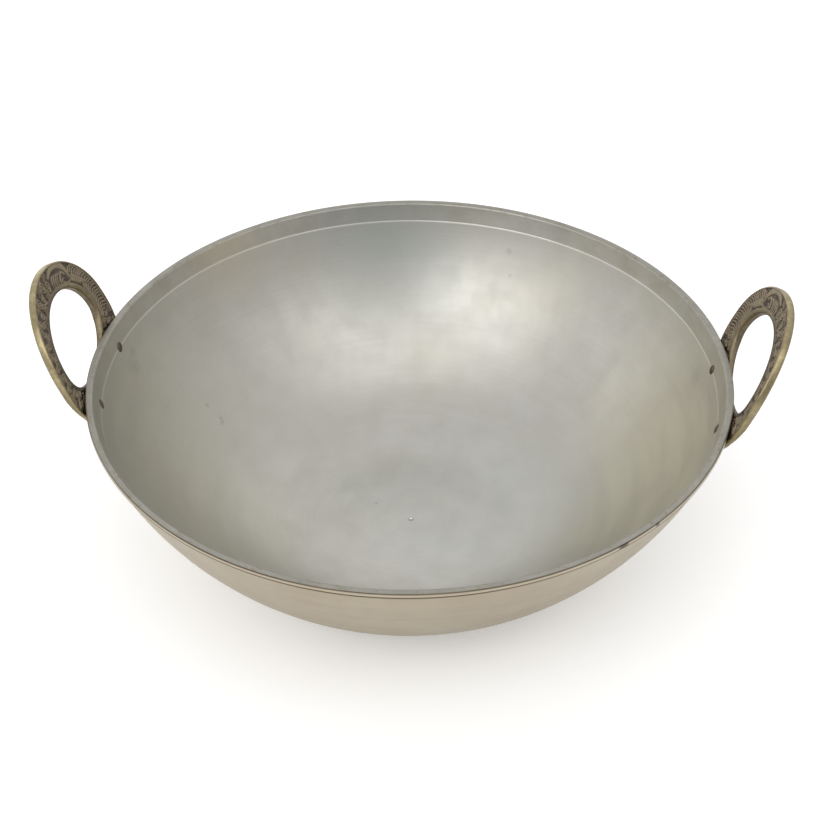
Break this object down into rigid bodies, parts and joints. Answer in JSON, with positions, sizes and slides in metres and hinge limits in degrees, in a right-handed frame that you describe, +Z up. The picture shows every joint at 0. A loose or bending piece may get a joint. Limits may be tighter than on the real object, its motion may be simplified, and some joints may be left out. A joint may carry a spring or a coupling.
{
  "type": "kadai",
  "caption": "Round, shallow brass cooking bowl with a flat base, a tinned inside, a turned rim band and cast oval ring handles riveted to its wall.",
  "frame": {"origin": "middle of the flat base, on the surface that the bowl stands on", "axes": "+Z up along the bowl's axis; the handles lie on +X (right) and -X (left); -Y is the front"},
  "size_m": [0.3462, 0.3, 0.1394],
  "materials": {
    "brass_outside": "satin",
    "tin": "satin",
    "antique_brass": "satin",
    "rivet_metal": "satin"
  },
  "bodies": {
    "root": {"bowl": "brass_outside", "tin_lining": "tin", "handle_left": "antique_brass", "handle_right": "antique_brass", "rivet_left_front": "rivet_metal", "rivet_left_rear": "rivet_metal", "rivet_right_front": "rivet_metal", "rivet_right_rear": "rivet_metal"}
  },
  "joints": []
}
